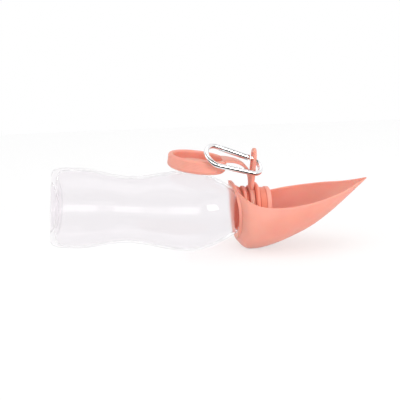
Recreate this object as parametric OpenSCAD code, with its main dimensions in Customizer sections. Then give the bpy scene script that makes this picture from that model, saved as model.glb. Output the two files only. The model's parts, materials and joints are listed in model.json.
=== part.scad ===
// Pet travel water bottle with a leaf-shaped silicone drinking bowl, lying as it is set down.
// Every sub-part is drawn along the bottle's own axis: +X from the base to the leaf's tip, +Z up.
// lay() then leans that axis down to the shoulder and the bowl, the two things that it lies on.

/* [Bottle] */

// Radius of the heel, which a cup holder grips, mm
heel_r = 37; // [34:0.5:40]
// Radius of the bulge at the shoulder, mm
bulge_r = 37.5; // [34:0.5:40]
// Radius of the waist between them, mm
waist_r = 31; // [28:0.5:34]
// Distance from the base to the waist, mm
waist_x = 70; // [60:1:80]
// Distance from the base to the bulge, mm
bulge_x = 126; // [110:1:140]
// Distance from the base to the root of the neck, mm
neck_x = 172; // [160:1:185]
// Thickness of the clear wall, mm
wall = 2.4; // [1.6:0.2:3.2]

/* [Neck and head] */

// Radius of the neck's thread at its crests, mm
thread_r = 17.9; // [15:0.1:19]
// Advance of the thread in one turn, mm
thread_pitch = 5; // [3:0.5:8]
// Outer radius of the head's skirt, on which the bowl and the tether sit, mm
skirt_r = 20.6; // [19:0.1:22]
// Radius of the head's flange, mm
flange_r = 28.3; // [26:0.1:30]
// Radius of the dial's front bead, mm
dial_r = 24.8; // [22:0.1:26]

/* [Bowl] */

// Thickness of the silicone bowl, mm
bowl_wall = 2.5; // [1.8:0.1:4]
// Half width of the bowl at its widest rim, mm
bowl_half_width = 37.6; // [30:0.2:42]
// Distance from the bottle's base to the leaf's tip, mm
tip_x = 293.5; // [280:0.5:310]

/* [Tether and clip] */

// Outer radius of the dial's tethered cover, mm
cover_r = 27; // [25:0.2:30]
// Height of that cover, mm
cover_height = 12.4; // [9:0.2:16]
// Radius of the clip's wire, mm
wire_r = 2.25; // [1.5:0.05:3]
// Radius of the clip's gate sleeve, mm
gate_r = 2.75; // [2:0.05:3.5]

/* [Hidden] */

$fn = 96;
eps = 0.02;
clear = 0.3;      // gap between bodies that move past each other
running = 0.05;   // radial gap of a shaft in its bore

coral = [0.94, 0.55, 0.45];
steel = [0.78, 0.79, 0.8];
clear_plastic = [0.87, 0.85, 0.9, 0.45];
seal_white = [0.92, 0.9, 0.88];

// How the assembly lies
lying_tilt = 4.2;

// Bottle
base_r = 31;
heel_x = 19;
heel_band = 10;
heel_start = heel_x - heel_band / 2;
heel_end = heel_x + heel_band / 2;
corner_power = 2.4;
neck_root_r = 20;
neck_step = 0.4;
neck_bore_r = 14.4;
thread_depth = 1.3;
crest = 0.8;
thread_root_r = thread_r - thread_depth;
thread_start_x = 177.5;
thread_end_x = 183.2;
mouth_x = 186.2;
punt_r = 23;
punt_depth = 7;
base_thickness = 4.5;

// Head, along the axis
skirt_x = 172.7;
bead_x = 178.9;
bead_r = 21.3;
tether_x = 181.2;
tether_length = 4.7;
flange_x = 186.2;
flange_length = 3.8;
gasket_thickness = 1.2;
gasket_r = 17.9;
pocket_r = 18.35;
seal_x = 190;
seal_thickness = 0.9;
seal_r = 21;
dial_x = 191.2;
dial_length = 9.9;
dial_waist_r = 23.9;
dial_bead_length = 4.6;
dial_face_x = 197.4;
washer_seat = 0.5;
dial_recess_r = 20.4;
port_r = 3;
port_orbit = 12;
hub_r = 4.6;
hub_bore_r = 1.6;
washer_r = 5.6;
washer_thickness = 0.8;

// Bowl stations: distance along the axis, half width of the rim, height of the rim, depth
bowl_x = 172.6;
bowl_station = [bowl_x, 180, 190, 205, 222, 240, 258, 276, tip_x];
rim_half = [11.8, 26.6, 31.8, 34.8, bowl_half_width, 35.2, 27.2, 14.4, 0.9];
rim_height = [27.4, 18.8, 13.4, 13.2, 16.3, 20.2, 24.9, 29.9, 36.6];
bowl_depth = [25, 32.6, 33.6, 29.4, 21.4, 11.2, -3, -19.4, -35.4];
bowl_back_centre = 2.6;
bowl_back_span = 9;
plate_lean = 3;
top_lean = 5.8;
bowl_lean_span = 26;
bowl_centre_from = 180;
bowl_centre_span = 60;
back_wall = 3.4;
hub_ring_r = 25.6;
hub_ring_end = 178.4;
rows = 32;
ribs = 24;
station_growth = 1.15;   // rings stand closer at the bowl's back, where it turns sharply

// Tether
strap_thickness = 2.8;
tether_ring_r = 25.3;
loop_x = 183.5;
loop_length = 3.2;
loop_lean = 6;
loop_half = 7.2;
loop_top = 62.6;
loop_slot_half = 4.5;
loop_slot_low = 41;
loop_slot_high = 58.6;
cover_x = 131.5;
cover_z = 40;
cover_tilt = 4;
cover_bore_r = 22.6;
cover_floor = 3.6;
cover_plug_r = 15.5;
cover_plug_height = 3.4;
cover_edge = 3.6;
arm = [[154.5, 49.6], [174.5, 50.6], [180.2, 43], [181.6, 24.8]];
arm_steps = 24;
arm_plan = [[151, 14.5], [158, 11.5], [167, 8.6], [177, 7], [190, 6.2]];

// Clip: a pear of wire; its wide arc's centre, and how its plane is turned
wide_r = 11.5;
narrow_r = 8.8;
arc_gap = 36.2;
clip_at = [147.4, -20.5, 56.9];
clip_turn = [38.8, 15.7, 13.9];
bar_r = wire_r + 0.04;
flank = asin((wide_r - narrow_r) / arc_gap);
gate_length = arc_gap * cos(flank);
gate_from = 2.2;
gate_to = 3.2;
tongue_half = 0.9;
tongue_wide = 1.5;
tongue_root = 0.7;
pivot_bar = 1.5;     // the bar beyond the pivot stays short, so that the gate's corner clears it
gate_slot_half = 1.2;
pin_r = 0.7;
gate_bore_r = 1.6;

function ease(a, b, s) = a + (b - a) * (1 - cos(180 * s)) / 2;
function smooth(t) = let (c = max(0, min(1, t))) c * c * (3 - 2 * c);

// Outer radius of the bottle at a distance x from its base
function corner_r(x) =
    base_r + (heel_r - base_r) * sqrt(1 - pow(1 - min(1, x / heel_start), corner_power));
function bottle_r(x) =
    x < heel_start ? corner_r(x) :
    x < heel_end ? heel_r :
    x < waist_x ? ease(heel_r, waist_r, (x - heel_end) / (waist_x - heel_end)) :
    x < bulge_x ? ease(waist_r, bulge_r, (x - waist_x) / (bulge_x - waist_x)) :
    neck_root_r + (bulge_r - neck_root_r) * cos(90 * (x - bulge_x) / (neck_x - bulge_x));

// Where the floor and the ends of the assembly come, once it lies
bottle_reach = max([for (x = [0 : 0.5 : neck_x]) bottle_r(x) * cos(lying_tilt) + x * sin(lying_tilt)]);
x_low = -base_r * sin(lying_tilt);
x_high = tip_x * cos(lying_tilt) + rim_height[len(rim_height) - 1] * sin(lying_tilt);

module lay()
    translate([-(x_low + x_high) / 2, 0, bottle_reach])
    rotate([0, lying_tilt, 0])
    children();

// A solid of revolution about the bottle's axis, from [distance, radius] points
module turned(points)
    rotate([0, 90, 0])
    rotate_extrude()
    polygon([for (p = points) [p[1], p[0]]]);

module rod(x, length, r)
    translate([x, 0, 0])
    rotate([0, 90, 0])
    cylinder(h = length, r = r);

// The neck's thread, drawn as one ridge for each turn
module thread_ridges()
    for (x = [thread_start_x : thread_pitch : thread_end_x])
        turned([
            [x, 0], [x, thread_root_r], [x + crest, thread_r],
            [x + 2 * crest, thread_r], [x + 3 * crest, thread_root_r], [x + 3 * crest, 0],
        ]);

module bottle_outline() {
    step = 4;
    turned(concat(
        [[punt_depth, 0]],
        [for (a = [10 : 10 : 90]) [punt_depth * cos(a), punt_r * sin(a)]],
        [[0, base_r]],
        [for (x = [0.25, 0.8, 1.6, 2.8, 4.4, 6.4, 9]) [x, bottle_r(x)]],
        [for (x = [heel_start, heel_end]) [x, bottle_r(x)]],
        [for (x = [heel_end + step : step : neck_x - 1]) [x, bottle_r(x)]],
        [[neck_x, neck_root_r], [neck_x + neck_step, thread_r], [neck_x + neck_step, 0]]
    ));
}

// The shoulder grown by a gap, which the bowl's back plate hugs
module shoulder(gap)
    turned(concat(
        [[150, 0]],
        [for (x = [150 : 2 : neck_x]) [x, bottle_r(x) + gap]],
        [[neck_x + gap, neck_root_r], [neck_x + gap, 0]]
    ));

module bottle_inside() {
    step = 4;
    end_x = neck_x - 6;
    turned(concat(
        [[punt_depth + base_thickness, 0]],
        [for (a = [15 : 15 : 90])
            [base_thickness + punt_depth * cos(a), (punt_r + wall) * sin(a)]],
        [[base_thickness, base_r - wall - 1], [base_thickness + 3, heel_r - wall - 0.8]],
        [for (x = [heel_x : step : end_x]) [x, bottle_r(x) - wall - 0.5 * smooth((x - 150) / 20)]],
        [[neck_x - 1, neck_bore_r], [neck_x - 1, 0]]
    ));
}

module bottle()
    color(clear_plastic)
    lay()
    difference() {
        bottle_outline();
        bottle_inside();
        rod(neck_x - 1 - eps, 3, neck_bore_r);
    }

// The threaded neck of the same bottle. Its collision pieces then can't span the shoulder's hollow
module bottle_neck()
    color(clear_plastic)
    lay()
    difference() {
        union() {
            rod(neck_x + neck_step, mouth_x - neck_x - neck_step, thread_root_r);
            thread_ridges();
        }
        rod(neck_x - 1, mouth_x - neck_x + 2, neck_bore_r);
    }

module mouth_gasket()
    color(seal_white)
    lay()
    difference() {
        rod(mouth_x + eps, gasket_thickness, gasket_r);
        rod(mouth_x, 2 * gasket_thickness, neck_bore_r);
    }

module ports(x, length, turn)
    for (side = [0, 180])
        rotate([turn + side, 0, 0])
        translate([0, port_orbit, 0])
        rod(x, length, port_r);

module screw_cap() {
    front = flange_x + flange_length;
    round_edge = 1.2;
    color(coral)
    lay()
    difference() {
        union() {
            rod(skirt_x, front - skirt_x, skirt_r);
            turned([
                [bead_x, 0], [bead_x, skirt_r], [bead_x + 0.6, bead_r],
                [bead_x + 1.2, bead_r], [bead_x + 1.8, skirt_r], [bead_x + 1.8, 0],
            ]);
            turned([
                [flange_x, 0], [flange_x, flange_r - round_edge], [flange_x + round_edge, flange_r],
                [front - round_edge, flange_r], [front, flange_r - round_edge], [front, 0],
            ]);
            rod(front - eps, dial_face_x - front + washer_seat + 0.1, hub_r);
        }
        rod(skirt_x - 1, flange_x + gasket_thickness + 2 * eps - skirt_x + 1, pocket_r);
        ports(flange_x, 2 * flange_length, 0);
        rod(flange_x, 20, hub_bore_r);
    }
}

// The leaf bowl. A section at station s is an ellipse about a centre that rises with the rim.
function pick(list, i) = list[max(0, min(len(list) - 1, i))];
function slope(list, i) =
    (pick(list, i + 1) - pick(list, i - 1)) / (pick(bowl_station, i + 1) - pick(bowl_station, i - 1));
function span_of(s, i = 0) = i >= len(bowl_station) - 2 || s < bowl_station[i + 1] ? i : span_of(s, i + 1);
function along(list, s) =
    let (i = span_of(s), d = bowl_station[i + 1] - bowl_station[i], t = (s - bowl_station[i]) / d)
    (2 * t * t * t - 3 * t * t + 1) * list[i] + (t * t * t - 2 * t * t + t) * d * slope(list, i)
    + (3 * t * t - 2 * t * t * t) * list[i + 1] + (t * t * t - t * t) * d * slope(list, i + 1);
function centre_z(s) =
    along(rim_height, s) * smooth((s - bowl_centre_from) / bowl_centre_span)
    + bowl_back_centre * (1 - smooth((s - bowl_x) / bowl_back_span));
function station(j, from, to) = from + (to - from) * pow(j / rows, station_growth);
function half_depth(s) = centre_z(s) + along(bowl_depth, s);
// The back of the bowl is round, so the rim's angle is held below the top of its ellipse
function rim_angle(s) = asin(min(0.91, (along(rim_height, s) - centre_z(s)) / half_depth(s)));
function half_wide(s) = along(rim_half, s) / cos(rim_angle(s));
// The back plate dishes backwards round the bottle's shoulder, most at its top
function lean_back(s, y, z) =
    (1 - smooth((s - bowl_x) / bowl_lean_span))
    * (plate_lean * smooth((norm([y, z]) - neck_root_r) / 9) * (z > 0 ? 1 : 1 + z / 30)
        + top_lean * pow(max(0, z) / 28, 2));

// One ring of the bowl's solid, shrunk by t, with its rim raised by lift
function bowl_ring(s, t, lift) =
    let (
        b = max(0.25, half_depth(s) - t),
        w = max(0.2, half_wide(s) - t),
        a = rim_angle(s),
        arc = [for (i = [0 : ribs])
            let (f = -180 - a + (180 + 2 * a) * i / ribs, y = w * cos(f), z = centre_z(s) + b * sin(f))
            [s - lean_back(s, y, z), y, z]],
        rim = arc[0]
    )
    lift == 0 ? arc : concat([[rim[0], rim[1], rim[2] + lift]], arc, [[rim[0], -rim[1], rim[2] + lift]]);

// A closed solid through a list of rings of equal length, each mirrored about the plane y = 0
module skin(rings) {
    n = len(rings[0]);
    m = len(rings);
    half = floor(n / 2);
    sides = [for (j = [0 : m - 2], i = [0 : n - 1])
        let (k = (i + 1) % n, a = j * n, b = (j + 1) * n)
        each [[a + i, b + i, b + k], [a + i, b + k, a + k]]];
    front = [for (i = [0 : half - 1]) let (k = n - 1 - i) each
        k - 1 > i + 1 ? [[i, i + 1, k - 1], [i, k - 1, k]] : [[i, i + 1, k]]];
    back = [for (t = front) [for (i = [2, 1, 0]) (m - 1) * n + t[i]]];
    polyhedron([for (r = rings) each r], concat(sides, front, back), convexity = 8);
}

module bowl() {
    inner_end = tip_x - 7;
    color(coral)
    lay()
    difference() {
        union() {
            skin([for (j = [0 : rows]) bowl_ring(station(j, bowl_x, tip_x), 0, 0)]);
            rod(bowl_x + back_wall - 0.6, hub_ring_end - bowl_x - back_wall + 0.6, hub_ring_r);
        }
        difference() {
            skin([for (j = [0 : rows])
                bowl_ring(station(j, bowl_x + back_wall, inner_end), bowl_wall, 40)]);
            rod(bowl_x, hub_ring_end - bowl_x, hub_ring_r);
        }
        rod(bowl_x - 10, 40, skirt_r);
        shoulder(clear);
        under_floor();
    }
}

// All that would be below the floor that the bottle lies on
module under_floor()
    rotate([0, -lying_tilt, 0])
    translate([0, -60, -bottle_reach - 40])
    cube([320, 120, 40]);

module seal_disc()
    color(seal_white)
    lay()
    difference() {
        rod(seal_x + eps, seal_thickness, seal_r);
        ports(seal_x - 1, 4, 0);
        rod(seal_x - 1, 4, hub_r + clear);
    }

module dial() {
    end = dial_x + dial_length;
    grip_half = 3;
    grip_x = end - 0.6;
    color(coral)
    lay()
    difference() {
        turned([
            [dial_x, 0], [dial_x, dial_waist_r], [end - dial_bead_length, dial_waist_r],
            [end - dial_bead_length + 0.6, dial_r], [end - 0.8, dial_r], [end, dial_r - 0.8], [end, 0],
        ]);
        difference() {
            rod(dial_face_x, 10, dial_recess_r);
            translate([dial_face_x - 1, -dial_recess_r - 1, -grip_half])
                cube([grip_x - dial_face_x + 1, 2 * dial_recess_r + 2, 2 * grip_half]);
        }
        rod(dial_face_x + washer_seat, 10, washer_r + clear);
        ports(dial_x - 1, 10, 90);
        rod(dial_x - 1, 20, hub_r + running);
        rod(dial_x - eps, 1.6, hub_r + 2.2);
    }
}

module dial_ring()
    color([0.2, 0.2, 0.22])
    lay()
    translate([dial_x + 0.85, 0, 0])
    rotate([0, 90, 0])
    rotate_extrude()
    translate([hub_r + 1.1, 0])
    circle(r = 0.72, $fn = 24);

module dial_washer()
    color(steel)
    lay()
    difference() {
        rod(dial_face_x + washer_seat + clear, washer_thickness, washer_r);
        rod(dial_face_x, 10, hub_bore_r + 0.3);
    }

module dial_screw() {
    head_x = dial_face_x + washer_seat + clear + washer_thickness;
    color(steel)
    lay()
    difference() {
        union() {
            rod(head_x + eps, 1.8, 3.2);
            rod(flange_x + 1.4, head_x - flange_x - 1.4 + 0.2, hub_bore_r);
        }
        rod(head_x + 0.8, 4, 1.3);
    }
}

// The silicone tether: neck ring, upright loop, arm and the dial's cover in one moulding
function bezier(p, t) =
    pow(1 - t, 3) * p[0] + 3 * t * pow(1 - t, 2) * p[1] + 3 * t * t * (1 - t) * p[2] + pow(t, 3) * p[3];
function arm_side(side) = [for (i = [0 : arm_steps])
    let (
        t = i / arm_steps,
        p = bezier(arm, t),
        q = bezier(arm, t + 0.01) - bezier(arm, t - 0.01),
        n = [-q[1], q[0]] / norm(q)
    )
    p + side * strap_thickness / 2 * n];

module arm_web()
    intersection() {
        translate([0, 20, 0])
            rotate([90, 0, 0])
            linear_extrude(height = 40)
            polygon(concat(arm_side(1), [for (i = [arm_steps : -1 : 0]) arm_side(-1)[i]]));
        translate([0, 0, 15])
            linear_extrude(height = 50)
            polygon(concat(arm_plan,
                [for (i = [len(arm_plan) - 1 : -1 : 0]) [arm_plan[i][0], -arm_plan[i][1]]]));
    }

module loop_plate(length, half, low, high)
    translate([loop_x - length / 2, 0, 0])
    rotate([0, 90, 0])
    linear_extrude(height = length)
    union() {
        translate([-(high - half), 0]) circle(r = half);
        translate([-(low + half), 0]) circle(r = half);
        translate([-(high - half), -half]) square([high - low - 2 * half, 2 * half]);
    }

module cover() {
    rim = (cover_r - cover_bore_r) / 2;
    mid = (cover_r + cover_bore_r) / 2;
    translate([cover_x, 0, cover_z])
    rotate([0, cover_tilt, 0])
    rotate_extrude()
    polygon(concat(
        [[0, 0], [cover_r - cover_edge, 0]],
        [for (a = [-75 : 15 : 0])
            [cover_r - cover_edge + cover_edge * cos(a), cover_edge + cover_edge * sin(a)]],
        [for (a = [0 : 20 : 180]) [mid + rim * cos(a), cover_height - rim + rim * sin(a)]],
        [
            [cover_bore_r, cover_floor], [cover_plug_r, cover_floor],
            [cover_plug_r - 0.6, cover_floor + cover_plug_height], [0, cover_floor + cover_plug_height],
        ]
    ));
}

// The cover, arm and loop, which end on the neck ring
module tether()
    color(coral)
    lay()
    difference() {
        union() {
            rotate([loop_lean, 0, 0])
                loop_plate(loop_length, loop_half, 20, loop_top);
            arm_web();
            cover();
        }
        rod(tether_x - 0.1, tether_length + 1, tether_ring_r);
        rod(tether_x - 6, 6, hub_ring_r + clear);
        rotate([loop_lean, 0, 0])
            loop_plate(loop_length + 2, loop_slot_half, loop_slot_low, loop_slot_high);
    }

// The neck ring of the same moulding, kept plain so that its collision is a true ring
module tether_ring()
    color(coral)
    lay()
    difference() {
        rod(tether_x, tether_length, tether_ring_r);
        rod(tether_x - 1, tether_length + 2, skirt_r + running);
    }

// Places what is drawn in the clip's own plane: x towards its narrow end, y towards its gate
module on_clip()
    translate(clip_at)
    rotate(clip_turn)
    children();

// Along the gate's side of the pear, from its wide end
module along_gate()
    on_clip()
    rotate([0, 0, -flank])
    translate([0, wide_r, 0])
    children();

module wire_arc(r, from, sweep)
    rotate([0, 0, from])
    rotate_extrude(angle = sweep)
    translate([r, 0])
    circle(r = wire_r, $fn = 40);

module clip_frame()
    color(steel)
    lay()
    difference() {
        union() {
            on_clip() {
                wire_arc(wide_r, 90 - flank, 180 + 2 * flank);
                translate([arc_gap, 0, 0]) wire_arc(narrow_r, -90 + flank, 180 - 2 * flank);
                rotate([0, 0, flank])
                    translate([0, -wide_r, 0])
                    rod(0, gate_length, bar_r);
            }
            along_gate() {
                rod(0, gate_from - tongue_root, bar_r);
                translate([tongue_root, -tongue_wide, -tongue_half])
                    cube([gate_from + 3.7 - tongue_root, 2 * tongue_wide, 2 * tongue_half]);
                rod(gate_length - pivot_bar, pivot_bar, bar_r);
                translate([gate_length - gate_to - 3.4, -tongue_wide, -tongue_half])
                    cube([gate_to + 3.4 - tongue_root, 2 * tongue_wide, 2 * tongue_half]);
            }
        }
        along_gate() {
            translate([gate_length - gate_to - 1.6, 0, -5]) cylinder(h = 10, r = pin_r + running, $fn = 32);
            translate([gate_from + 2, 0, -5]) cylinder(h = 10, r = pin_r, $fn = 32);
        }
    }

module clip_gate()
    color(steel)
    lay()
    difference() {
        along_gate() rod(gate_from, gate_length - gate_from - gate_to, gate_r);
        along_gate() {
            translate([gate_from - 1, -4, -gate_slot_half]) cube([6.4, 8, 2 * gate_slot_half]);
            translate([gate_from - 1, -pin_r - clear, -5]) cube([3 + pin_r + clear, 8, 10]);
            translate([gate_length - gate_to - 4.2, -4, -gate_slot_half]) cube([8, 8, 2 * gate_slot_half]);
            rod(gate_length - gate_to - 18, 16, gate_bore_r);
            translate([gate_length - gate_to - 1.6, 0, -5]) cylinder(h = 10, r = pin_r, $fn = 32);
        }
    }

module gate_pivot_pin()
    color(steel)
    lay()
    along_gate()
    translate([gate_length - gate_to - 1.6, 0, -gate_r + 0.2])
    cylinder(h = 2 * gate_r - 0.4, r = pin_r, $fn = 32);

module gate_nose_pin()
    color(steel)
    lay()
    along_gate()
    translate([gate_from + 2, 0, -gate_r + 0.5])
    cylinder(h = 2 * gate_r - 1, r = pin_r, $fn = 32);

module gate_plunger()
    color(steel)
    lay()
    along_gate()
    rod(gate_length - gate_to - 7.6, 3.6, gate_bore_r - running);

module gate_spring()
    color(steel)
    lay()
    along_gate()
    difference() {
        rod(gate_length - gate_to - 17.8, 10.1, gate_bore_r - 0.1);
        rod(gate_length - gate_to - 18, 12, gate_bore_r - 0.7);
    }

bottle();
bottle_neck();
mouth_gasket();
screw_cap();
bowl();
seal_disc();
dial();
dial_ring();
dial_washer();
dial_screw();
tether();
tether_ring();
clip_frame();
clip_gate();
gate_pivot_pin();
gate_nose_pin();
gate_plunger();
gate_spring();
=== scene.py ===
# %% [markdown]
# A clear pet water bottle lies on its side, with a coral silicone drinking bowl round its screw
# head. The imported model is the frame. Every new piece is a surface worked out as one numpy grid,
# in millimetres along the bottle's own axis: +X from the base to the leaf's tip, +Z up. `lay` then
# carries the grid to the place where the bottle lies.

# %% Load the frame
import json

import bmesh
import bpy
import numpy as np
from mathutils import Matrix, Vector


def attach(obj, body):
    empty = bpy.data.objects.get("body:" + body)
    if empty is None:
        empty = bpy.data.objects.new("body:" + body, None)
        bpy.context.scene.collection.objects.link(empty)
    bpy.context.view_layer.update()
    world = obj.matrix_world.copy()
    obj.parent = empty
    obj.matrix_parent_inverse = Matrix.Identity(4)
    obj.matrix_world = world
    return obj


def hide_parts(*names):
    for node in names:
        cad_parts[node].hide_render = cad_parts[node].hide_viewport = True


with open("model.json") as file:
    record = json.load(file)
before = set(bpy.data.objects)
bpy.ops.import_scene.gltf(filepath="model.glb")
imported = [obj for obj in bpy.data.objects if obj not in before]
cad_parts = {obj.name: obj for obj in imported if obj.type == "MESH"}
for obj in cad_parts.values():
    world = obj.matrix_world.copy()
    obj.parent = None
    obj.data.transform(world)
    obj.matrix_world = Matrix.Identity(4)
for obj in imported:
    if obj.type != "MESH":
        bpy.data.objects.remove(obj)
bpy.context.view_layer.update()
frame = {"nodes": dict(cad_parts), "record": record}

# %% [markdown]
# ## Driving sizes
# These repeat the part's own dimensions, so that a dressed piece fits the solid it stands for. Two
# do not: the bowl's hub is 1 mm slimmer in radius than its solid, and the tether's arm meets the
# ring 1.6 mm further forward. They could be read off the solids' boxes, but a box says nothing
# about a wall or a thread.

# %% Sizes in millimetres
BASE_R, HEEL_R, WAIST_R, BULGE_R, NECK_ROOT_R = 31.0, 37.0, 31.0, 37.5, 20.0
HEEL_START, HEEL_END, WAIST_X, BULGE_X, NECK_X = 14.0, 24.0, 70.0, 126.0, 172.0
WALL, PUNT_R, PUNT_DEPTH, BASE_THICKNESS = 2.4, 23.0, 7.0, 4.5
THREAD_R, THREAD_ROOT_R, THREAD_PITCH, NECK_BORE_R, MOUTH_X = 17.9, 16.6, 5.0, 14.4, 186.2
THREAD_START, THREAD_TURNS, THREAD_FADE, RIDGE_HALF, RIDGE_FLANK = 175.8, 1.8, 0.12, 1.3, 0.7
INNER_HEEL_X, INNER_CORNER_X, SHOULDER_EXTRA = 19.0, 7.5, 0.5
SKIRT_R, CLEAR, LYING_TILT, TIP_X = 20.6, 0.3, np.radians(4.2), 293.5

BOWL_X, BOWL_WALL, BACK_WALL, HUB_R, HUB_END = 172.6, 2.5, 3.4, 24.6, 178.4
STATION = np.array([BOWL_X, 180, 190, 205, 222, 240, 258, 276, TIP_X])
RIM_HALF = np.array([11.8, 26.6, 31.8, 34.8, 37.6, 35.2, 27.2, 14.4, 0.9])
RIM_HEIGHT = np.array([27.4, 18.8, 13.4, 13.2, 16.3, 20.2, 24.9, 29.9, 36.6])
BOWL_DEPTH = np.array([25, 32.6, 33.6, 29.4, 21.4, 11.2, -3, -19.4, -35.4])
BACK_CENTRE, BACK_DISH, BACK_FLARE, BACK_REACH, LIP = 2.6, 3, 5.8, 26, 0.45

RING_X, RING_LENGTH, RING_R, STRAP = 181.2, 4.7, 25.3, 2.8
LOOP_X, LOOP_LENGTH, LOOP_LEAN = 183.5, 3.2, np.radians(6)
LOOP_SLOT, LOOP_PLATE = (4.5, 41, 58.6), (7.2, 20, 62.6)
DIAL_BEAD_X = 196.5
COVER_X, COVER_Z, COVER_TILT = 131.5, 40.0, np.radians(4)
COVER_R, COVER_BORE_R, COVER_HEIGHT, COVER_FLOOR = 27.0, 22.6, 12.4, 3.6
COVER_FOOT, COVER_LINES, LINE_DEPTH, PLUG_R, PLUG_HEIGHT = 3.6, 5, 0.14, 15.5, 3.4
ARM = np.array([[154.5, 49.6], [174.8, 50.6], [182.2, 43], [183.2, 24.8]])
ARM_WIDTH_X, ARM_HALF_WIDTH = [151, 158, 167, 177, 190], [14.5, 11.5, 8.6, 7, 6.2]
print("the bottle is", MOUTH_X, "mm long to its mouth, and the leaf's tip is at", TIP_X, "mm")

# %% [markdown]
# ## The shapes' formulas
# Every piece is made from a few small functions. A blown bottle's side is a chain of half waves,
# and a moulded leaf is a row of cross-sections whose width, height and depth change smoothly. Both
# could be drawn by hand with control points. Formulas are used because the same numbers then fit
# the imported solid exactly, and changing one number moves every piece that touches it.
# `smooth` is the cubic step, `along` a cubic Hermite curve through the bowl's stations, and
# `bottle_r` the bottle's radius at a distance from its base.

# %% Formulas
def smooth(t):
    """3c^2 - 2c^3, where c is t held between 0 and 1."""
    c = np.clip(t, 0, 1)
    return c * c * (3 - 2 * c)


def ease(a, b, s):
    """a + (b - a)(1 - cos(pi s)) / 2, a half wave from a to b."""
    return a + (b - a) * (1 - np.cos(np.pi * s)) / 2


def bottle_r(x):
    """Rounded corner, straight heel band, half wave in to the waist, half wave out to the bulge,
    then a quarter of a cosine down to the neck's root."""
    corner = BASE_R + (HEEL_R - BASE_R) * np.sqrt(1 - (1 - np.clip(x / HEEL_START, 0, 1)) ** 2.4)
    waist = ease(HEEL_R, WAIST_R, (x - HEEL_END) / (WAIST_X - HEEL_END))
    bulge = ease(WAIST_R, BULGE_R, (x - WAIST_X) / (BULGE_X - WAIST_X))
    drop = np.cos(np.pi / 2 * np.clip((x - BULGE_X) / (NECK_X - BULGE_X), 0, 1))
    shoulder = NECK_ROOT_R + (BULGE_R - NECK_ROOT_R) * drop
    return np.select([x < HEEL_START, x < HEEL_END, x < WAIST_X, x < BULGE_X],
                     [corner, HEEL_R + 0 * x, waist, bulge], shoulder)


REACH = np.max(bottle_r(np.arange(0, NECK_X, 0.5)) * np.cos(LYING_TILT)
               + np.arange(0, NECK_X, 0.5) * np.sin(LYING_TILT))
X_LOW = -BASE_R * np.sin(LYING_TILT)
X_HIGH = TIP_X * np.cos(LYING_TILT) + RIM_HEIGHT[-1] * np.sin(LYING_TILT)


def turn(points, angle):
    """Turns points about the Y axis, which dips +X as the angle grows."""
    x, y, z = np.moveaxis(np.asarray(points, float), -1, 0)
    c, s = np.cos(angle), np.sin(angle)
    return np.stack([x * c + z * s, y, z * c - x * s], -1)


def lay(points):
    """Bottle millimetres to row metres: the lying tilt, then the shift on to the floor."""
    return (turn(points, LYING_TILT) + [-(X_LOW + X_HIGH) / 2, 0, REACH]) / 1000


def along(values, s):
    """Cubic Hermite curve through the stations, with central differences as its slopes."""
    s = np.asarray(s, float)
    i = np.clip(np.searchsorted(STATION, s, side="right") - 1, 0, len(STATION) - 2)
    slope = np.empty(len(values))
    slope[1:-1] = (values[2:] - values[:-2]) / (STATION[2:] - STATION[:-2])
    slope[0] = (values[1] - values[0]) / (STATION[1] - STATION[0])
    slope[-1] = (values[-1] - values[-2]) / (STATION[-1] - STATION[-2])
    d = STATION[i + 1] - STATION[i]
    t = (s - STATION[i]) / d
    return ((2 * t**3 - 3 * t**2 + 1) * values[i] + (t**3 - 2 * t**2 + t) * d * slope[i]
            + (3 * t**2 - 2 * t**3) * values[i + 1] + (t**3 - t**2) * d * slope[i + 1])


def superellipse(n, power):
    """n points of a rounded rectangle: cos and sin raised to the power, each with its own sign."""
    a = np.linspace(0, 2 * np.pi, n, endpoint=False)
    return tuple(np.sign(f) * np.abs(f) ** power for f in (np.cos(a), np.sin(a)))


def fillet(points, radius, steps=5):
    """Each inner corner of an open outline becomes a quadratic curve between two points, which lie
    the radius, or at most 0.45 of the side, away from it."""
    p = np.asarray(points, float)
    before, corner, after = p[:-2], p[1:-1], p[2:]
    into, out = before - corner, after - corner
    li = np.linalg.norm(into, axis=1, keepdims=True)
    lo = np.linalg.norm(out, axis=1, keepdims=True)
    a = corner + into / li * np.minimum(radius, 0.45 * li)
    b = corner + out / lo * np.minimum(radius, 0.45 * lo)
    t = np.linspace(0, 1, steps)[None, :, None]
    arcs = (1 - t) ** 2 * a[:, None] + 2 * t * (1 - t) * corner[:, None] + t**2 * b[:, None]
    return np.vstack([p[:1], arcs.reshape(-1, 2), p[-1:]])


def revolve(profile, around=128):
    """Grid (x, r cos a, r sin a) of an outline of [x, r] about the bottle's axis."""
    a = np.linspace(0, 2 * np.pi, around, endpoint=False)
    x, r = np.asarray(profile, float).T
    along_axis = np.repeat(x[:, None], around, 1)
    return np.stack([along_axis, r[:, None] * np.cos(a), r[:, None] * np.sin(a)], -1)


print("floor is", round(float(REACH), 2), "mm under the bottle's axis at its base")

# %% [markdown]
# ## From grid to mesh
# A surface is a grid of points, and its faces follow from where each point stands in the grid. A
# loop over the faces would also do, but index arithmetic makes all of them at once and is quick.
# `piece` also makes the grid's two parameters its UV map, merges the points where a grid closes on
# itself, and turns the faces outwards.

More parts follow.
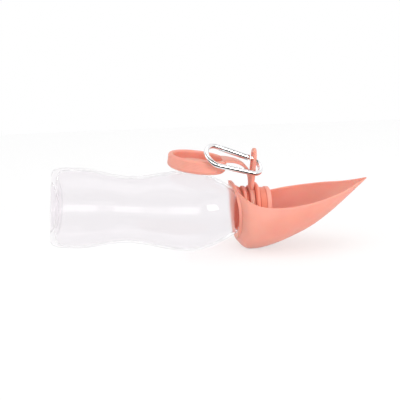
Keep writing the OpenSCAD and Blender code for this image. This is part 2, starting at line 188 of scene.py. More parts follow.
# %% Mesh builder
def piece(name, grid, body, wrap=(False, True), sharp=40, floor=False):
    """A mesh of the grid's quads that rides on the body. wrap says which of the grid's two
    directions closes on itself, sharp is the angle from which an edge stays hard, and floor
    presses what would be under the floor up to it."""
    m, n = grid.shape[:2]
    i, j = np.meshgrid(np.arange(m - (not wrap[0])), np.arange(n - (not wrap[1])), indexing="ij")
    i, j = i.ravel(), j.ravel()
    corners = np.stack([i * n + j, (i + 1) % m * n + j,
                        (i + 1) % m * n + (j + 1) % n, i * n + (j + 1) % n], -1)
    places = lay(grid.reshape(-1, 3))
    if floor:
        places[:, 2] = np.maximum(places[:, 2], 0)
    mesh = bpy.data.meshes.new(name)
    mesh.vertices.add(m * n)
    mesh.vertices.foreach_set("co", places.ravel())
    mesh.loops.add(corners.size)
    mesh.loops.foreach_set("vertex_index", corners.ravel())
    mesh.polygons.add(len(corners))
    mesh.polygons.foreach_set("loop_start", np.arange(0, corners.size, 4))
    uv = np.stack([np.stack([i, i + 1, i + 1, i], -1) / m,
                   np.stack([j, j, j + 1, j + 1], -1) / n], -1)
    mesh.uv_layers.new(name="UVMap").data.foreach_set("uv", uv.ravel())
    mesh.update(calc_edges=True)
    work = bmesh.new()
    work.from_mesh(mesh)
    bmesh.ops.remove_doubles(work, verts=work.verts, dist=1e-7)
    bmesh.ops.recalc_face_normals(work, faces=work.faces)
    work.to_mesh(mesh)
    work.free()
    mesh.shade_smooth()
    mesh.set_sharp_from_angle(angle=np.radians(sharp))
    shape = bpy.data.objects.new(name, mesh)
    bpy.context.scene.collection.objects.link(shape)
    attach(shape, body)
    print(f"{name}: {len(mesh.polygons)} faces")
    return shape


# %% [markdown]
# ## The clear bottle
# The bottle is blown from clear plastic, so it has a real wall, and both its inside and its outside
# catch the light. A single skin would look like a solid lump. It could be a skin with a Solidify
# modifier, but the base is thicker than the side and is pushed in at its middle, so one closed
# outline is used: up the outside, over the mouth and back down the inside. On the neck a ridge
# climbs one pitch in each turn, so the thread is a true helix.

# %% Bottle
def thread_height(x, angle):
    """A trapezoid about the helix x = start + pitch (k + angle / 2 pi), faded at its two ends."""
    travel = (x - THREAD_START) / THREAD_PITCH - angle / (2 * np.pi)
    off = np.abs(travel - np.round(travel)) * THREAD_PITCH
    climbed = np.round(travel) + angle / (2 * np.pi)
    ends = smooth(climbed / THREAD_FADE) * smooth((THREAD_TURNS - climbed) / THREAD_FADE)
    return (THREAD_R - THREAD_ROOT_R) * np.clip((RIDGE_HALF - off) / RIDGE_FLANK, 0, 1) * ends


def bottle_grid(around=160):
    """The outline turned about the axis, plus the thread's height on the neck's outside."""
    punt = np.linspace(0, np.pi / 2, 12)
    side = np.linspace(0.8, NECK_X - 1.2, 130)
    outside = np.vstack([
        np.stack([PUNT_DEPTH * np.cos(punt), PUNT_R * np.sin(punt)], -1),
        fillet([[0, PUNT_R], [0, BASE_R - 1.5], [0.25, bottle_r(np.array(0.25))]], 0.8)[1:],
        np.stack([side, bottle_r(side)], -1),
        fillet([[NECK_X, NECK_ROOT_R], [NECK_X + 0.4, THREAD_R],
                [NECK_X + 0.4, THREAD_ROOT_R]], 0.5),
    ])
    neck = np.linspace(NECK_X + 0.6, MOUTH_X - 0.8, 70)
    neck = np.stack([neck, np.full_like(neck, THREAD_ROOT_R)], -1)
    mouth = fillet([[MOUTH_X - 0.7, THREAD_ROOT_R], [MOUTH_X, THREAD_ROOT_R],
                    [MOUTH_X, NECK_BORE_R], [NECK_X - 1, NECK_BORE_R]], 0.6)
    down = np.linspace(NECK_X - 3, INNER_HEEL_X, 90)
    inner_wall = WALL + SHOULDER_EXTRA * smooth((down - 150) / 20)
    inside = np.vstack([
        np.stack([down, bottle_r(down) - inner_wall], -1),
        fillet([[INNER_HEEL_X, HEEL_R - WALL], [INNER_CORNER_X, HEEL_R - WALL - 0.8],
                [BASE_THICKNESS, BASE_R - WALL - 1], [BASE_THICKNESS, PUNT_R + WALL]], 3.5)[1:],
        np.stack([BASE_THICKNESS + PUNT_DEPTH * np.cos(punt),
                  (PUNT_R + WALL) * np.sin(punt)], -1)[::-1],
    ])
    profile = np.vstack([outside, neck, mouth, inside])
    grid = revolve(profile, around)
    angle = np.linspace(0, 2 * np.pi, around, endpoint=False)
    rows = slice(len(outside), len(outside) + len(neck))
    radius = THREAD_ROOT_R + thread_height(neck[:, :1], angle[None])
    grid[rows, :, 1] = radius * np.cos(angle)
    grid[rows, :, 2] = radius * np.sin(angle)
    return grid


bottle = piece("bottle_clear", bottle_grid(), "bottle", sharp=60)
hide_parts("bottle", "bottle_neck")

# %% [markdown]
# ## The silicone bowl
# The bowl is one soft moulding: a leaf that a dog drinks from, a back that hugs the bottle's
# shoulder, and a hub on the screw head. The leaf and the back share the same cross-sections, each
# an ellipse about a centre that rises with the rim. The sections could be drawn one by one, but
# then the leaf and the back would have to be matched by hand where they meet.

# %% Bowl sections
def centre_z(s):
    """The ellipse's centre: the rim's height times a step, plus a rise at the back only."""
    return (along(RIM_HEIGHT, s) * smooth((s - 180) / 60)
            + BACK_CENTRE * (1 - smooth((s - BOWL_X) / 9)))


def half_depth(s):
    """From the ellipse's centre down to its lowest point."""
    return centre_z(s) + along(BOWL_DEPTH, s)


def rim_angle(s):
    """arcsin((rim - centre) / half depth), the place of the rim on the ellipse."""
    return np.arcsin(np.clip((along(RIM_HEIGHT, s) - centre_z(s)) / half_depth(s), -1, 0.91))


def lean_back(s, y, z):
    """How far the back dishes round the bottle's shoulder: a step in the radius, plus a square in
    the height above the axis, and both fade out over BACK_REACH."""
    ring = BACK_DISH * smooth((np.hypot(y, z) - NECK_ROOT_R) / 9) * np.where(z > 0, 1, 1 + z / 30)
    flare = BACK_FLARE * (np.maximum(0, z) / 28) ** 2
    return (1 - smooth((s - BOWL_X) / BACK_REACH)) * (ring + flare)


def off_shoulder(grid):
    """Moves x forward to the shoulder's own plus the gap, wherever it would be behind that."""
    radius = np.hypot(grid[..., 1], grid[..., 2])
    reach = np.clip((radius - CLEAR - NECK_ROOT_R) / (BULGE_R - NECK_ROOT_R), 0, 1)
    edge = BULGE_X + (NECK_X - BULGE_X) * np.arccos(reach) / (np.pi / 2) + CLEAR
    grid[..., 0] = np.where(radius < BULGE_R, np.maximum(grid[..., 0], edge), grid[..., 0])
    return grid


print("half depths at the stations:", np.round(half_depth(STATION), 1), "mm")

# %% [markdown]
# ## The leaf
# A subdivided cage could give the leaf, but its lip has to stay even from end to end. So a row of
# the grid goes down the outside, over a rounded lip, back up the inside and over the other lip, and
# the rows are packed closer together where the leaf meets the head.

# %% Leaf
def leaf_grid(rows=170, ribs=96, lip=9):
    """An ellipse's arc for each station: outside, lip, inside, lip. The wall thins to nothing
    towards the tip."""
    s = BOWL_X + (TIP_X - BOWL_X) * np.linspace(0, 1, rows)[:, None] ** 1.1
    depth, wide = half_depth(s), along(RIM_HALF, s) / np.cos(rim_angle(s))
    wall = np.minimum(BOWL_WALL, 0.42 * np.minimum(depth, wide))
    centre, top = centre_z(s), along(RIM_HEIGHT, s) - LIP * wall
    u = np.linspace(0, 1, ribs)[None]

    def arc(shrink):
        """(w cos f, centre + b sin f) from one end of the rim, under the bowl, to the other."""
        b, w = depth - shrink, wide - shrink
        a = np.arcsin(np.clip((top - centre) / b, -1, 0.95))
        f = -np.pi - a + (np.pi + 2 * a) * u
        return w * np.cos(f), centre + b * np.sin(f)

    outer_y, outer_z = arc(0)
    inner_y, inner_z = arc(wall)
    phi = np.linspace(0, np.pi, lip + 2)[None, 1:-1]

    def over(y0, z0, y1, z1):
        """The lip: half an ellipse from one point to the other, LIP times the wall high."""
        mid_y, mid_z = (y0 + y1) / 2, (z0 + z1) / 2
        return (mid_y + (y0 - mid_y) * np.cos(phi),
                mid_z + (z0 - mid_z) * np.cos(phi) + LIP * wall * np.sin(phi))

    right = over(outer_y[:, -1:], outer_z[:, -1:], inner_y[:, -1:], inner_z[:, -1:])
    left = over(inner_y[:, :1], inner_z[:, :1], outer_y[:, :1], outer_z[:, :1])
    y = np.hstack([outer_y, right[0], inner_y[:, ::-1], left[0]])
    z = np.hstack([outer_z, right[1], inner_z[:, ::-1], left[1]])
    grid = np.stack([s - lean_back(s, y, z), y, z], -1)
    tip = np.broadcast_to(grid[-1].mean(0) + [0.5, 0, 0.1], grid[-1:].shape)
    return np.concatenate([off_shoulder(grid), tip])


leaf = piece("bowl_leaf", leaf_grid(), "head", floor=True, sharp=70)
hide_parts("bowl")

# %% [markdown]
# ## The bowl's back and hub
# The back closes the leaf behind the dial and follows the bottle's shoulder. It could be cut out of
# the leaf's first section, but a cut leaves ragged edges, so it is a washer of its own that starts
# at the head's skirt and ends on the leaf's first ring. The hub is a plain turned ring.

# %% Back and hub
def back_grid(around=160, across=26):
    """Straight lines from the hub's hole to the leaf's first ring, out along the back face and in
    along the front."""
    a = np.linspace(0, 2 * np.pi, around, endpoint=False)[None]
    s0 = np.array([BOWL_X])
    b, w = half_depth(s0)[0], (RIM_HALF[0] / np.cos(rim_angle(s0)))[0]
    ring_y, ring_z = w * np.cos(a), np.minimum(centre_z(s0)[0] + b * np.sin(a), RIM_HEIGHT[0])
    v = np.concatenate([np.linspace(0, 1, across), np.ones(4), np.linspace(1, 0, across)])[:, None]
    depth = np.concatenate([np.zeros(across), np.linspace(0, 1, 6)[1:-1], np.ones(across)])[:, None]
    edge = 0.985 + 0.015 * np.sin(np.pi * depth)
    y = (SKIRT_R + 0.05) * np.cos(a) * (1 - v) + ring_y * v * np.where(v == 1, edge, 1)
    z = (SKIRT_R + 0.05) * np.sin(a) * (1 - v) + ring_z * v * np.where(v == 1, edge, 1)
    back = off_shoulder(np.stack([BOWL_X - lean_back(BOWL_X, y, z), y, z], -1))
    back[..., 0] += depth * BACK_WALL
    return back


HUB_START, HUB_BORE_R = BOWL_X + 2.8, SKIRT_R + 0.05
hub_profile = fillet([[HUB_START, HUB_BORE_R], [HUB_START, HUB_R], [HUB_END, HUB_R],
                      [HUB_END, HUB_BORE_R], [HUB_START, HUB_BORE_R]], 0.9)
bowl_back = piece("bowl_back", back_grid(), "head", wrap=(True, True), sharp=60)
bowl_hub = piece("bowl_hub", revolve(hub_profile), "head")
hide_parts("bowl")
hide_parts("bowl")

# %% [markdown]
# ## The tether
# The tether is one silicone moulding, so its parts flow into each other: the neck ring, the upright
# loop for the clip, the arm, and the cup that covers the dial while the bottle is carried. The cup
# could be a cylinder with another cut out of it, but a turned outline gives it a soft rim, a draft
# on its plug and the shallow lines round its wall in one go.

# %% Cover
def cover_grid():
    """A turned cup, tilted and set in place. Shallow lines of LINE_DEPTH sin(k pi h) squared run
    round its wall, where k is COVER_LINES and h goes from 0 to 1 up the wall."""
    rim = (COVER_R - COVER_BORE_R) / 2
    middle = (COVER_R + COVER_BORE_R) / 2
    turn_in = np.linspace(-np.pi / 2, 0, 10)
    wall = np.linspace(COVER_FOOT, COVER_HEIGHT - rim, 40)
    over = np.linspace(0, np.pi, 20)
    up = (wall - COVER_FOOT) / (COVER_HEIGHT - rim - COVER_FOOT)
    line = LINE_DEPTH * np.sin(up * COVER_LINES * np.pi) ** 2
    profile = np.vstack([
        [[0, 0], [COVER_R - 5, 0]],
        np.stack([COVER_R - COVER_FOOT + COVER_FOOT * np.cos(turn_in),
                  COVER_FOOT + COVER_FOOT * np.sin(turn_in)], -1),
        np.stack([COVER_R - line, wall], -1),
        np.stack([middle + rim * np.cos(over), COVER_HEIGHT - rim + rim * np.sin(over)], -1),
        fillet([[COVER_BORE_R, COVER_HEIGHT - rim - 0.5], [COVER_BORE_R, COVER_FLOOR],
                [PLUG_R, COVER_FLOOR], [PLUG_R - 0.6, COVER_FLOOR + PLUG_HEIGHT],
                [0, COVER_FLOOR + PLUG_HEIGHT]], 1.1),
    ])
    a = np.linspace(0, 2 * np.pi, 160, endpoint=False)
    r, height = profile[:, :1], profile[:, 1:]
    grid = np.stack([r * np.cos(a), r * np.sin(a), np.broadcast_to(height, (len(r), len(a)))], -1)
    return turn(grid, COVER_TILT) + [COVER_X, 0, COVER_Z]


tether_cover = piece("tether_cover", cover_grid(), "tether", sharp=60)
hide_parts("tether")

# %% [markdown]
# ## The arm
# The arm is a flat strap that bends up from the ring and out to the cover, and widens on the way.
# A curve object with a bevel would make it, but a numpy sweep lets the width follow a table.

# %% Arm
def arm_grid(steps=60, around=40):
    """A rounded strap section carried along a cubic Bezier curve in the plane y = 0."""
    t = np.linspace(0, 1, steps)[:, None]
    p = ((1 - t) ** 3 * ARM[0] + 3 * t * (1 - t) ** 2 * ARM[1]
         + 3 * t**2 * (1 - t) * ARM[2] + t**3 * ARM[3])
    q = np.gradient(p, axis=0)
    normal = np.stack([-q[:, 1], q[:, 0]], -1) / np.linalg.norm(q, axis=1, keepdims=True)
    half = np.interp(p[:, 0], ARM_WIDTH_X, ARM_HALF_WIDTH)
    # A running mean of nine points takes the corners out of the table of widths
    half = np.convolve(np.pad(half, 4, mode="edge"), np.ones(9) / 9, mode="valid")
    across, up = superellipse(around, 0.5)
    lift = STRAP / 2 * up
    x = p[:, :1] + normal[:, :1] * lift
    z = p[:, 1:] + normal[:, 1:] * lift
    return np.stack([x, half[:, None] * across, z], -1)


tether_arm = piece("tether_arm", arm_grid(), "tether", sharp=80)
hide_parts("tether")

# %% [markdown]
# ## The loop
# The clip hangs in an upright loop with a long slot. A plate with a hole cut out would need its
# edges bevelled. Here a rounded section is carried between the slot's outline and the plate's, so
# every edge is soft from the start.

# %% Loop
def stadium(half, low, high, n=24):
    """The outline of a slot with round ends, as the same number of points for any size."""
    a = np.linspace(0, np.pi, n)
    top = np.stack([half * np.cos(a), high - half + half * np.sin(a)], -1)
    bottom = np.stack([-half * np.cos(a), low + half - half * np.sin(a)], -1)
    k = np.linspace(0, 1, n + 2)[1:-1, None]
    return np.vstack([top, top[-1] * (1 - k) + bottom[0] * k,
                      bottom, bottom[-1] * (1 - k) + top[0] * k])


def loop_grid(around=24):
    """A rounded section between the slot's outline and the plate's, leaned about the bottle's
    axis: (y cos t - z sin t, y sin t + z cos t)."""
    slot, plate = stadium(*LOOP_SLOT), stadium(*LOOP_PLATE)
    w, e = superellipse(around, 0.5)
    mix = (0.5 + 0.5 * w)[None, :, None]
    yz = slot[:, None] * (1 - mix) + plate[:, None] * mix
    y, z = yz[..., 0], yz[..., 1]
    c, s = np.cos(LOOP_LEAN), np.sin(LOOP_LEAN)
    x = LOOP_X + LOOP_LENGTH / 2 * np.broadcast_to(e, y.shape)
    return np.stack([x, y * c - z * s, y * s + z * c], -1)


tether_loop = piece("tether_loop", loop_grid(), "tether", wrap=(True, True),
                    sharp=80)
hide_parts("tether")

# %% [markdown]
# ## The neck ring
# The ring turns on the head's skirt, so it is a turned outline with a little room inside. A torus
# would be quicker, but a moulded ring like this is flat on both faces.

# %% Neck ring
RING_END, RING_BORE_R = RING_X + RING_LENGTH, SKIRT_R + 0.06
ring_profile = fillet([
    [RING_X, RING_BORE_R], [RING_X, RING_R], [RING_END, RING_R], [RING_END, RING_BORE_R],
    [RING_X, RING_BORE_R]], 1.1)
tether_ring = piece("tether_ring", revolve(ring_profile), "tether")
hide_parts("tether_ring")

# %% [markdown]
# ## Materials
# Silicone is matt and a little soft in the light, hard plastic is smoother, and the clip is
# polished steel with hairlines along it. Each could be one flat colour, but real mouldings drift
# in tone and have a fine grain, which is what the eye reads as material. Two shared groups give
# that as a value and a normal: `moulded_grain` for silicone and plastic, and `fine_wear` for metal.
# What is uniform is set on the shader's own socket.

# %% Shared groups
def new_group(name, outputs, inputs=()):
    """An empty shader group with those sockets, and its two end nodes."""
    tree = bpy.data.node_groups.new(name, "ShaderNodeTree")
    for label, kind, value in inputs:
        tree.interface.new_socket(label, in_out="INPUT", socket_type=kind).default_value = value
    for label, kind in outputs:
        tree.interface.new_socket(label, in_out="OUTPUT", socket_type=kind)
    return tree, tree.nodes.new("NodeGroupInput"), tree.nodes.new("NodeGroupOutput")


def add(tree, kind, **sockets):
    """A new node with its sockets linked, or set where a plain value is given."""
    node = tree.nodes.new(kind)
    for key, value in sockets.items():
        socket = node.inputs[key.replace("_", " ")]
        if hasattr(value, "is_linked"):
            tree.links.new(value, socket)
        else:
            socket.default_value = value
    return node


def ramp(tree, fac, *stops):
    """A colour that follows fac through the stops. A ramp has two of its own, which come first."""
    node = add(tree, "ShaderNodeValToRGB", Fac=fac)
    for k, (at, colour) in enumerate(stops):
        stop = node.color_ramp.elements[k] if k < 2 else node.color_ramp.elements.new(at)
        stop.position, stop.color = at, (*colour, 1)
    return node.outputs["Color"]


def grain_group():
    """Fine mould texture as a normal, and slow unevenness as a value about one half."""
    tree, start, end = new_group(
        "moulded_grain", [("Normal", "NodeSocketVector"), ("Tone", "NodeSocketFloat")],
        [("Scale", "NodeSocketFloat", 2200.0), ("Depth", "NodeSocketFloat", 0.12)])
    place = tree.nodes.new("ShaderNodeTexCoord").outputs["Object"]
    fine = add(tree, "ShaderNodeTexNoise", Vector=place, Scale=start.outputs["Scale"], Detail=3.0)
    slow = add(tree, "ShaderNodeTexNoise", Vector=place, Scale=38.0, Detail=2.0)
    bump = add(tree, "ShaderNodeBump", Height=fine.outputs["Fac"], Strength=start.outputs["Depth"],
               Distance=0.0004)
    tree.links.new(bump.outputs["Normal"], end.inputs["Normal"])
    tree.links.new(slow.outputs["Fac"], end.inputs["Tone"])
    return tree


def wear_group():
    """Hairlines drawn out along the clip as a normal, and the roughness they leave."""
    tree, start, end = new_group(
        "fine_wear", [("Normal", "NodeSocketVector"), ("Roughness", "NodeSocketFloat")],
        [("Low", "NodeSocketFloat", 0.06), ("High", "NodeSocketFloat", 0.2)])
    place = tree.nodes.new("ShaderNodeTexCoord").outputs["Object"]
    drawn = add(tree, "ShaderNodeMapping", Vector=place, Scale=(60.0, 900.0, 900.0))
    lines = add(tree, "ShaderNodeTexNoise", Vector=drawn.outputs["Vector"], Scale=1.0, Detail=4.0)
    rough = add(tree, "ShaderNodeMapRange", Value=lines.outputs["Fac"], To_Min=start.outputs["Low"],
                To_Max=start.outputs["High"])
    bump = add(tree, "ShaderNodeBump", Height=lines.outputs["Fac"], Strength=0.012, Distance=0.0002)
    tree.links.new(bump.outputs["Normal"], end.inputs["Normal"])
    tree.links.new(rough.outputs["Result"], end.inputs["Roughness"])
    return tree


grain, wear = grain_group(), wear_group()
print("shared groups:", grain.name, wear.name)

# %% Material helpers
def shader(name, **values):
    """A new material and its Principled BSDF, with the uniform values on its own sockets."""
    made = bpy.data.materials.new(name)
    made.use_nodes = True
    surface = made.node_tree.nodes["Principled BSDF"]
    for key, value in values.items():
        surface.inputs[key.replace("_", " ")].default_value = value
    return made, made.node_tree, surface


def use_group(tree, group, **values):
    """A shared group placed in a material with that material's own values."""
    node = tree.nodes.new("ShaderNodeGroup")
    node.node_tree = group
    for key, value in values.items():
        node.inputs[key].default_value = value
    return node


def moulded(name, dark, light, scale, depth, **values):
    """A moulded colour that drifts a little, with grain as its bump."""
    made, tree, surface = shader(name, **values)
    texture = use_group(tree, grain, Scale=scale, Depth=depth)
    tone = ramp(tree, texture.outputs["Tone"], (0.3, dark), (0.7, light))
    tree.links.new(tone, surface.inputs["Base Color"])
    tree.links.new(texture.outputs["Normal"], surface.inputs["Normal"])
    return made


def metal(name, colour, low, high):
    """A metal whose roughness wanders from low to high along its hairlines."""
    made, tree, surface = shader(name, Metallic=1.0, Base_Color=(*colour, 1))
    texture = use_group(tree, wear, Low=low, High=high)
    tree.links.new(texture.outputs["Roughness"], surface.inputs["Roughness"])
    tree.links.new(texture.outputs["Normal"], surface.inputs["Normal"])
    return made


# %% [markdown]
# ## Coral silicone and plastic
# The bowl and the tether are silicone, in which a little light spreads before it comes out again.
# Without that the leaf would look painted. The head is a harder, redder plastic. The dial has a
# pale bead and a waist given a deeper tone. It could be two pieces with a
# material each, but it is one solid, so a mask along its own axis changes the tone at the bead.

# %% Silicone and plastic
coral = moulded("coral_silicone", (0.82, 0.338, 0.256), (0.86, 0.372, 0.289), 2200, 0.12,
                Roughness=0.5, Subsurface_Weight=0.5, Subsurface_Scale=0.004,
                Specular_IOR_Level=0.6)
coral_hard = moulded("coral_plastic", (0.89, 0.25, 0.165), (0.93, 0.275, 0.185), 1500, 0.05,
                     Roughness=0.36)
dial_finish = moulded("dial_plastic", (0.85, 0.338, 0.252), (0.89, 0.372, 0.285), 1500, 0.05,
                      Roughness=0.4)
WAIST_COLOUR = (0.80, 0.235, 0.145, 1)


# The dial's waist gets a deeper tone than its bead, from a mask along the axis.
def deepen_waist(made):
    """Deepens the dial's waist, masked by the place along the bottle's axis, x cos t - z sin t."""
    tree = made.node_tree
    surface = tree.nodes["Principled BSDF"]
    tone = surface.inputs["Base Color"].links[0].from_socket
    place = tree.nodes.new("ShaderNodeTexCoord").outputs["Object"]
    axis = add(tree, "ShaderNodeMapping", Vector=place, Rotation=(0.0, -float(LYING_TILT), 0.0))
    axial = add(tree, "ShaderNodeSeparateXYZ", Vector=axis.outputs["Vector"])
    start, end = (float(turn(lay([[x, 0, 0]]), -LYING_TILT)[0, 0])
                  for x in (DIAL_BEAD_X - 0.2, DIAL_BEAD_X + 0.5))
    mask = add(tree, "ShaderNodeMapRange", Value=axial.outputs["X"], From_Min=start, From_Max=end)
    paint = tree.nodes.new("ShaderNodeMixRGB")
    tree.links.new(mask.outputs["Result"], paint.inputs["Fac"])
    paint.inputs["Color1"].default_value = WAIST_COLOUR
    tree.links.new(tone, paint.inputs["Color2"])
    tree.links.new(paint.outputs["Color"], surface.inputs["Base Color"])
    print("the dial changes tone at", round(1000 * start, 1), "mm along the axis")


deepen_waist(dial_finish)

# %% [markdown]
# ## Seals and metal
# The gasket and the seal disc are pale silicone, the ring seal is black rubber, and the screw, the
# washer and the gate's small parts are brushed steel. They are mostly hidden. The clip is in plain
# sight and polished. One metal could do for all of it, but at the roughness of a brushed screw the
# clip would look like grey plastic.

# %% Seals and metal
seal = moulded("seal_silicone", (0.72, 0.70, 0.67), (0.80, 0.78, 0.75), 1800, 0.08, Roughness=0.5)
rubber = moulded("o_ring", (0.010, 0.010, 0.011), (0.022, 0.022, 0.024), 2600, 0.1, Roughness=0.45)
polished = metal("clip_steel", (0.88, 0.88, 0.89), 0.04, 0.12)
stainless = metal("stainless", (0.62, 0.62, 0.63), 0.2, 0.38)
print("metals:", polished.name, stainless.name)

# %% [markdown]
# ## The clear wall
# Clear plastic could be plain glass with an index of 1.5, but the wall is thin and both its faces
# are nearly parallel, so it hardly bends what is seen through it. The index is therefore close to
# 1, the shine comes from a coat with the real index, and part of the light goes straight through.
# All the light that falls on the floor does, so the bottle's shadow stays pale.

# %% Clear wall
clear, clear_tree, clear_surface = shader(
    "clear_wall", Transmission_Weight=1.0, IOR=1.03, Base_Color=(0.948, 0.932, 0.946, 1),
    Coat_Weight=0.55, Coat_IOR=1.5, Coat_Roughness=0.06)
STRAIGHT_SHARE = 0.35
haze = use_group(clear_tree, grain, Scale=260.0, Depth=0.02)
rough = add(clear_tree, "ShaderNodeMapRange", Value=haze.outputs["Tone"], To_Min=0.0, To_Max=0.05)
clear_tree.links.new(rough.outputs["Result"], clear_surface.inputs["Roughness"])
clear_tree.links.new(haze.outputs["Normal"], clear_surface.inputs["Normal"])
through = add(clear_tree, "ShaderNodeBsdfTransparent", Color=(0.979, 0.971, 0.977, 1))
ray = clear_tree.nodes.new("ShaderNodeLightPath")
unbent = add(clear_tree, "ShaderNodeMapRange", Value=ray.outputs["Is Shadow Ray"],
             To_Min=STRAIGHT_SHARE, To_Max=1.0)
either = clear_tree.nodes.new("ShaderNodeMixShader")
clear_tree.links.new(unbent.outputs["Result"], either.inputs[0])
clear_tree.links.new(clear_surface.outputs[0], either.inputs[1])
clear_tree.links.new(through.outputs[0], either.inputs[2])
clear_tree.links.new(either.outputs[0], clear_tree.nodes["Material Output"].inputs["Surface"])
print("the clear wall lets", STRAIGHT_SHARE, "of what is seen straight through")

# %% [markdown]
# ## Handing out the finishes
# Each solid of the part names a material slot, so one table from slot to material dresses them
# all. Each could be given its material by hand, but then a new solid would be left bare.

# %% Finishes
FINISH = {"clear_wall": clear, "coral_silicone": coral, "coral_plastic": coral_hard,
          "seal_silicone": seal, "o_ring": rubber, "clip_steel": polished, "stainless": stainless}
slots = {row["node"]: row["material_slot"] for row in frame["record"]["subparts"]}
for name, node in frame["nodes"].items():
    node.data.materials.clear()
    node.data.materials.append(FINISH[slots[name]])
frame["nodes"]["dial"].data.materials[0] = dial_finish
bottle.data.materials.append(clear)
for shape in (leaf, bowl_back, bowl_hub, tether_cover, tether_arm, tether_loop, tether_ring):
    shape.data.materials.append(coral)
print(len(FINISH) + 1, "materials on", len(slots), "solids and the new pieces")

# %% [markdown]
# ## Camera
# A long thing is shown from far off with a long lens, so that its near end doesn't look too big.
# The camera could be aimed with a Track To constraint, but its place is given along the bottle's
# own axis here, so its three directions are worked out and turned with the bottle.

# %% Camera
CAMERA_AZIMUTH, CAMERA_ELEVATION, CAMERA_TILT = np.radians((-7.6, 14.5, 3.4))
CAMERA_DISTANCE, CAMERA_TARGET, LENS = 1030.0, (137.0, 0.0, 10.5), 100.1
back = np.array([np.sin(CAMERA_AZIMUTH) * np.cos(CAMERA_ELEVATION),
                 -np.cos(CAMERA_AZIMUTH) * np.cos(CAMERA_ELEVATION), np.sin(CAMERA_ELEVATION)])
right = np.array([np.cos(CAMERA_AZIMUTH), np.sin(CAMERA_AZIMUTH), 0])
back, right = (turn(v, LYING_TILT - CAMERA_TILT) for v in (back, right))
target = lay([CAMERA_TARGET])[0]
place = target + back * CAMERA_DISTANCE / 1000
camera = bpy.data.objects.new("camera", bpy.data.cameras.new("camera"))
camera.matrix_world = Matrix.Translation(Vector(place)) @ Matrix(
    np.stack([right, np.cross(back, right), back], -1).tolist()).to_4x4()
camera.data.lens = LENS
bpy.context.scene.collection.objects.link(camera)
bpy.context.scene.camera = camera
print("the camera stands at", np.round(place, 3), "m")

# %% [markdown]
# ## Floor
# The object lies on a white table. The floor could be pure white light, but then it would take no
# shadow, so the camera, and whatever is seen through the bottle, get a mix of lit floor and white.
# Mirrored rays go through the floor, so that polished metal finds the sky's dark band below it.

# %% Floor
FLOOR_GLOW = 0.5
bpy.ops.mesh.primitive_plane_add(size=1.2)
floor = bpy.context.object
floor.name = "floor"
pale, pale_tree, pale_surface = shader(
    "floor_white", Base_Color=(0.86, 0.86, 0.86, 1), Roughness=0.9, Specular_IOR_Level=0.1)
glow = add(pale_tree, "ShaderNodeEmission", Color=(1, 1, 1, 1), Strength=1.15)
seen = pale_tree.nodes.new("ShaderNodeLightPath")
straight = add(pale_tree, "ShaderNodeMath")
straight.operation = "MAXIMUM"
pale_tree.links.new(seen.outputs["Is Camera Ray"], straight.inputs[0])
pale_tree.links.new(seen.outputs["Is Transmission Ray"], straight.inputs[1])
share = add(pale_tree, "ShaderNodeMath")
share.operation = "MULTIPLY"
pale_tree.links.new(straight.outputs[0], share.inputs[0])
share.inputs[1].default_value = FLOOR_GLOW
blended = pale_tree.nodes.new("ShaderNodeMixShader")
pale_tree.links.new(share.outputs[0], blended.inputs[0])
pale_tree.links.new(pale_surface.outputs[0], blended.inputs[1])
pale_tree.links.new(glow.outputs[0], blended.inputs[2])
unseen = pale_tree.nodes.new("ShaderNodeBsdfTransparent")
mirror = pale_tree.nodes.new("ShaderNodeMixShader")
pale_tree.links.new(seen.outputs["Is Glossy Ray"], mirror.inputs[0])
pale_tree.links.new(blended.outputs[0], mirror.inputs[1])
pale_tree.links.new(unseen.outputs[0], mirror.inputs[2])
pale_tree.links.new(mirror.outputs[0], pale_tree.nodes["Material Output"].inputs["Surface"])
floor.data.materials.append(pale)
print("the camera sees", FLOOR_GLOW, "of the floor as plain white")

# %% [markdown]
# ## Sky
# The camera and what is seen through the bottle find plain white, and matt surfaces get soft light
# from all sides. Polished metal needs something dark to mirror, or it looks like plaster, so
# mirrored rays find two dark bands, a broad one below and a narrow one high up. They are on the
# camera's side only, so the bottle's edges, which mirror what is behind it, stay pale. Black cards
# beside the camera would do the same, but they would also take light from the bowl.

# %% Sky
WHITE, DARK_BELOW, DARK_ABOVE = (1.0,) * 3, (0.03, 0.04, 0.03), (0.05, 0.06, 0.045)
world = bpy.data.worlds.new("studio")
world.use_nodes = True
bpy.context.scene.world = world
sky = world.node_tree
path = sky.nodes.new("ShaderNodeLightPath")
direction = sky.nodes.new("ShaderNodeTexCoord").outputs["Generated"]
split = add(sky, "ShaderNodeSeparateXYZ", Vector=direction)
height = add(sky, "ShaderNodeMapRange", Value=split.outputs["Z"], From_Min=-1.0, From_Max=1.0)
bands = ramp(sky, height.outputs["Result"], (0.0, WHITE), (1.0, WHITE),
             (0.06, WHITE), (0.09, DARK_BELOW), (0.43, DARK_BELOW), (0.46, WHITE),
             (0.76, WHITE), (0.78, DARK_ABOVE), (0.90, DARK_ABOVE), (0.92, WHITE))
behind = add(sky, "ShaderNodeMapRange", Value=split.outputs["Y"], From_Min=-0.1, From_Max=0.15)
soft = add(sky, "ShaderNodeBackground", Color=(1, 1, 1, 1), Strength=0.75)
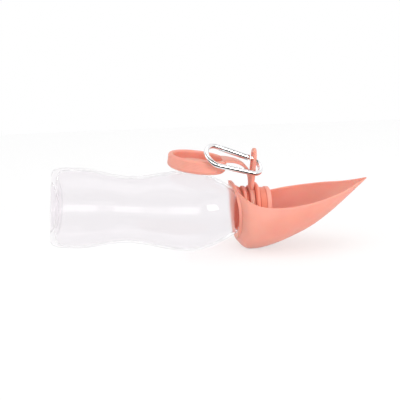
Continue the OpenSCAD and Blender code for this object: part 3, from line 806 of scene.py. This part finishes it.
banded = add(sky, "ShaderNodeBackground", Color=bands, Strength=1.0)
white = add(sky, "ShaderNodeBackground", Color=(1, 1, 1, 1), Strength=1.0)


def choose(share, otherwise, then):
    """then where share is 1, and otherwise where it is 0."""
    mix = sky.nodes.new("ShaderNodeMixShader")
    sky.links.new(share, mix.inputs[0])
    sky.links.new(otherwise.outputs[0], mix.inputs[1])
    sky.links.new(then.outputs[0], mix.inputs[2])
    return mix


mirrored = choose(behind.outputs["Result"], banded, white)
lit = choose(path.outputs["Is Camera Ray"], choose(path.outputs["Is Transmission Ray"], choose(
    path.outputs["Is Glossy Ray"], soft, mirrored), white), white)
sky.links.new(lit.outputs[0], sky.nodes["World Output"].inputs["Surface"])
print("sky bands at", [round(stop.position, 2) for stop in bands.node.color_ramp.elements])

# %% [markdown]
# ## Lamps
# Four softboxes light the bottle: a wide one in front, one each side and one overhead. Point lamps
# would be simpler, but they leave hard shadows and tiny highlights. The lamps are no stronger than
# the colours need, because too much light turns coral into white.

# %% Lamps
AIM = Vector((0.0, 0.0, 0.04))


def softbox(name, place, width, height, power):
    """An area light of that size in metres that faces the middle of the bottle."""
    data = bpy.data.lights.new(name, "AREA")
    data.shape, data.size, data.size_y, data.energy = "RECTANGLE", width, height, power
    lamp = bpy.data.objects.new(name, data)
    lamp.location = place
    lamp.rotation_euler = (AIM - Vector(place)).to_track_quat("-Z", "Y").to_euler()
    bpy.context.scene.collection.objects.link(lamp)
    print(f"{name}: {width} by {height} m, {power} W")


softbox("front", (-0.1, -1.6, 0.42), 1.5, 0.6, 5.6)
softbox("side", (1.2, -1.0, 0.5), 0.5, 0.4, 7)
softbox("left", (-1.5, -0.3, 0.5), 0.9, 0.9, 3.2)
softbox("top", (0.2, 0.1, 1.5), 1.0, 1.0, 3.6)
bpy.context.scene.view_settings.view_transform = "Standard"

# %% [markdown]
# ## Handing over
# Last, the view layer is updated, so that every piece's place is current.

# %% Update the view layer
bpy.context.view_layer.update()
